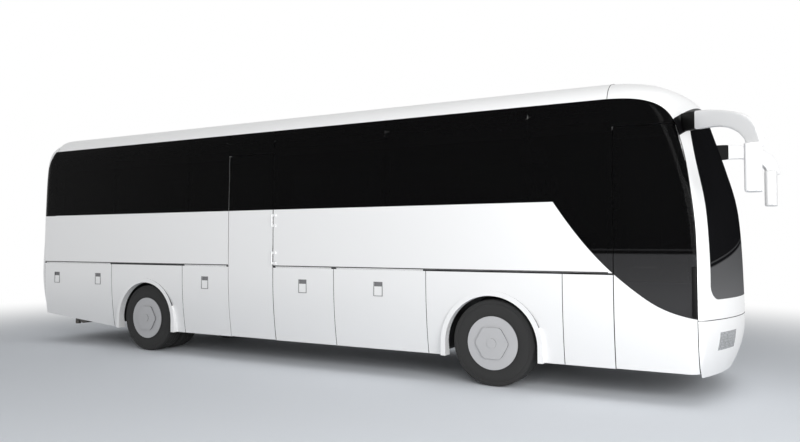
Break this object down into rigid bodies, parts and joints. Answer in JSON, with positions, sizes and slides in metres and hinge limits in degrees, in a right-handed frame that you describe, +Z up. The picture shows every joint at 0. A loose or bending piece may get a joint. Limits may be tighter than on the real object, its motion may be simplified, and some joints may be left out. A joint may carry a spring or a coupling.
{
  "type": "coach bus",
  "caption": "Single-deck touring coach with hold flaps, a swinging front door, a middle door and steered front wheels.",
  "frame": {"origin": "on the ground at the middle of the bounding box, mirrors included", "axes": "+X forward, +Y to the left side, +Z up"},
  "size_m": [11.7006, 3.4766, 3.5907],
  "materials": {
    "white_paint": "gloss white paint",
    "dark_glass": "dark tinted glass",
    "black_strip": "gloss black panel",
    "clear_lamp": "clear lamp cover",
    "red_lamp": "red lamp cover",
    "grey_floor": "grey floor covering",
    "frame_steel": "black chassis paint",
    "black_plastic": "moulded black plastic",
    "tyre_rubber": "black rubber",
    "wheel_grey": "light grey cover paint",
    "engine_iron": "plain casting",
    "exhaust_steel": "dull steel",
    "seat_cloth": "woven grey cloth",
    "arm_steel": "grey painted steel"
  },
  "bodies": {
    "coach": {"windscreen": "dark_glass", "front_mask": "white_paint", "visor_strip": "black_strip", "front_bumper": "white_paint", "headlamps": "clear_lamp", "front_dome": "white_paint", "side_wall_right": "white_paint", "side_wall_left": "white_paint", "driver_side_panel": "white_paint", "side_glass_right": "dark_glass", "side_glass_left": "dark_glass", "roof": "white_paint", "rear_cap": "white_paint", "rear_window": "dark_glass", "tail_lamps": "red_lamp", "rear_bumper": "white_paint", "underframe": "frame_steel", "bulkheads": "frame_steel", "hold_floor": "grey_floor", "saloon_floor": "grey_floor", "middle_stairs": "grey_floor", "front_floor": "grey_floor", "wheel_arch_liners": "black_plastic", "front_axle": "frame_steel", "rear_axle": "frame_steel", "engine_block": "engine_iron", "exhaust": "exhaust_steel", "passenger_seats_right": "seat_cloth", "passenger_seats_left": "seat_cloth", "driver_seat": "seat_cloth", "dashboard": "black_plastic", "luggage_racks": "black_plastic", "mirror_right": "white_paint", "mirror_left": "white_paint"},
    "front_door_arms": {"front_door_arms": "arm_steel"},
    "front_door": {"front_door_leaf": "white_paint", "front_door_glass": "dark_glass"},
    "middle_door": {"middle_door_leaf": "white_paint", "middle_door_glass": "dark_glass"},
    "engine_lid": {"engine_lid": "white_paint"},
    "engine_flap_right": {"engine_flap_right": "white_paint"},
    "engine_flap_left": {"engine_flap_left": "white_paint"},
    "hold_flap_rear_right": {"hold_flap_rear_right": "white_paint"},
    "hold_flap_middle_right": {"hold_flap_middle_right": "white_paint"},
    "hold_flap_middle_left": {"hold_flap_middle_left": "white_paint"},
    "hold_flap_front_right": {"hold_flap_front_right": "white_paint"},
    "hold_flap_front_left": {"hold_flap_front_left": "white_paint"},
    "hold_flap_long_left": {"hold_flap_long_left": "white_paint"},
    "steering_wheel": {"steering_wheel": "black_plastic"},
    "knuckle_right": {"knuckle_right": "frame_steel"},
    "front_wheel_right": {"wheel_front_right": "wheel_grey", "tyre_front_right": "tyre_rubber"},
    "rear_wheels_right": {"wheel_rear_right": "wheel_grey", "tyre_rear_right": "tyre_rubber"},
    "knuckle_left": {"knuckle_left": "frame_steel"},
    "front_wheel_left": {"wheel_front_left": "wheel_grey", "tyre_front_left": "tyre_rubber"},
    "rear_wheels_left": {"wheel_rear_left": "wheel_grey", "tyre_rear_left": "tyre_rubber"}
  },
  "joints": [
    {"name": "steer_right", "type": "hinge", "parent": "coach", "child": "knuckle_right", "pos_m": [2.86017, -0.92, 0.52], "axis": [0, 0, 1], "range_deg": [-42, 42]},
    {"name": "roll_front_right", "type": "hinge", "parent": "knuckle_right", "child": "front_wheel_right", "pos_m": [2.86017, -1.0525, 0.52], "axis": [0, 1, 0], "continuous": true},
    {"name": "roll_rear_right", "type": "hinge", "parent": "coach", "child": "rear_wheels_right", "pos_m": [-3.04983, -0.8875, 0.52], "axis": [0, 1, 0], "continuous": true},
    {"name": "steer_left", "type": "hinge", "parent": "coach", "child": "knuckle_left", "pos_m": [2.86017, 0.92, 0.52], "axis": [0, 0, 1], "range_deg": [-42, 42]},
    {"name": "roll_front_left", "type": "hinge", "parent": "knuckle_left", "child": "front_wheel_left", "pos_m": [2.86017, 1.0525, 0.52], "axis": [0, 1, 0], "continuous": true},
    {"name": "roll_rear_left", "type": "hinge", "parent": "coach", "child": "rear_wheels_left", "pos_m": [-3.04983, 0.8875, 0.52], "axis": [0, 1, 0], "continuous": true},
    {"name": "steering_turn", "type": "hinge", "parent": "coach", "child": "steering_wheel", "pos_m": [4.55017, 0.64, 1.64], "axis": [-0.4226, 0, 0.9063], "range_deg": [-714, 714]},
    {"name": "front_door_swing", "type": "hinge", "parent": "coach", "child": "front_door_arms", "pos_m": [4.37017, -1.13, 1.5], "axis": [0, 0, -1], "range_deg": [0, 150]},
    {"name": "front_door_turn", "type": "hinge", "parent": "front_door_arms", "child": "front_door", "pos_m": [4.82017, -1.13, 1.5], "axis": [0, 0, -1], "range_deg": [-150, 0]},
    {"name": "middle_door_swing", "type": "hinge", "parent": "coach", "child": "middle_door", "pos_m": [-0.45083, -1.289, 1.5], "axis": [0, 0, 1], "range_deg": [0, 90]},
    {"name": "engine_lid_lift", "type": "hinge", "parent": "coach", "child": "engine_lid", "pos_m": [-5.83305, 0, 1.7107], "axis": [0, 1, 0], "range_deg": [0, 80]},
    {"name": "engine_flap_right_lift", "type": "hinge", "parent": "coach", "child": "engine_flap_right", "pos_m": [-4.69883, -1.269, 1.381], "axis": [-1, 0, 0], "range_deg": [0, 95]},
    {"name": "engine_flap_left_lift", "type": "hinge", "parent": "coach", "child": "engine_flap_left", "pos_m": [-4.69883, 1.269, 1.381], "axis": [1, 0, 0], "range_deg": [0, 95]},
    {"name": "hold_flap_rear_right_lift", "type": "hinge", "parent": "coach", "child": "hold_flap_rear_right", "pos_m": [-1.74783, -1.269, 1.381], "axis": [-1, 0, 0], "range_deg": [0, 95]},
    {"name": "hold_flap_middle_right_lift", "type": "hinge", "parent": "coach", "child": "hold_flap_middle_right", "pos_m": [0.08117, -1.269, 1.381], "axis": [-1, 0, 0], "range_deg": [0, 95]},
    {"name": "hold_flap_middle_left_lift", "type": "hinge", "parent": "coach", "child": "hold_flap_middle_left", "pos_m": [0.08117, 1.269, 1.381], "axis": [1, 0, 0], "range_deg": [0, 95]},
    {"name": "hold_flap_front_right_lift", "type": "hinge", "parent": "coach", "child": "hold_flap_front_right", "pos_m": [1.30017, -1.269, 1.381], "axis": [-1, 0, 0], "range_deg": [0, 95]},
    {"name": "hold_flap_front_left_lift", "type": "hinge", "parent": "coach", "child": "hold_flap_front_left", "pos_m": [1.30017, 1.269, 1.381], "axis": [1, 0, 0], "range_deg": [0, 95]},
    {"name": "hold_flap_long_left_lift", "type": "hinge", "parent": "coach", "child": "hold_flap_long_left", "pos_m": [-1.32783, 1.269, 1.381], "axis": [1, 0, 0], "range_deg": [0, 95]}
  ],
  "couplings": [
    {"joint": "steer_left", "follows": "steer_right", "ratio": 1},
    {"joint": "steering_turn", "follows": "steer_right", "ratio": 17},
    {"joint": "front_door_turn", "follows": "front_door_swing", "ratio": -1}
  ]
}
